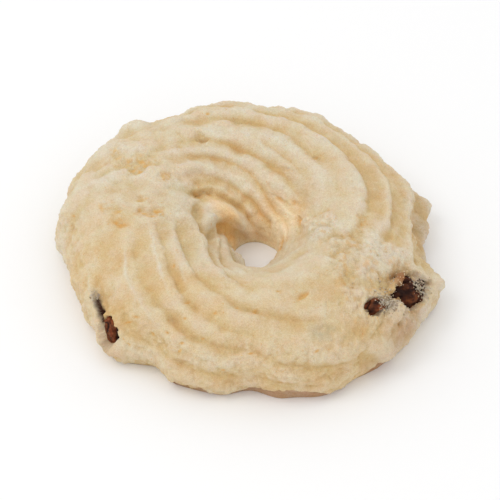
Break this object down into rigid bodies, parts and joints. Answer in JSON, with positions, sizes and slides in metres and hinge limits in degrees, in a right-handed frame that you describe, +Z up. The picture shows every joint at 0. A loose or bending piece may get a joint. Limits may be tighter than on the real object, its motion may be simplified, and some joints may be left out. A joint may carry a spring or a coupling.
{
  "type": "butter cookie",
  "caption": "Piped ring butter cookie with twisted ridges, a middle hole, a torn patch and pieces of dried fruit baked into its side.",
  "frame": {"origin": "middle of the bounding box on the flat base that the cookie rests on", "axes": "+Z up out of the ridged top, +X towards the torn side, -Y towards the front of the picture"},
  "size_m": [0.0608, 0.0596, 0.0134],
  "materials": {
    "dough": "matt, dry and finely crumbed, pale cream crests over warmer valleys",
    "dried_fruit": "very dark brown, shrivelled, with a soft wet-looking shine"
  },
  "bodies": {
    "root": {"dough_ring": "dough", "raisin_right": "dried_fruit", "raisin_small": "dried_fruit", "raisin_left": "dried_fruit"}
  },
  "joints": []
}
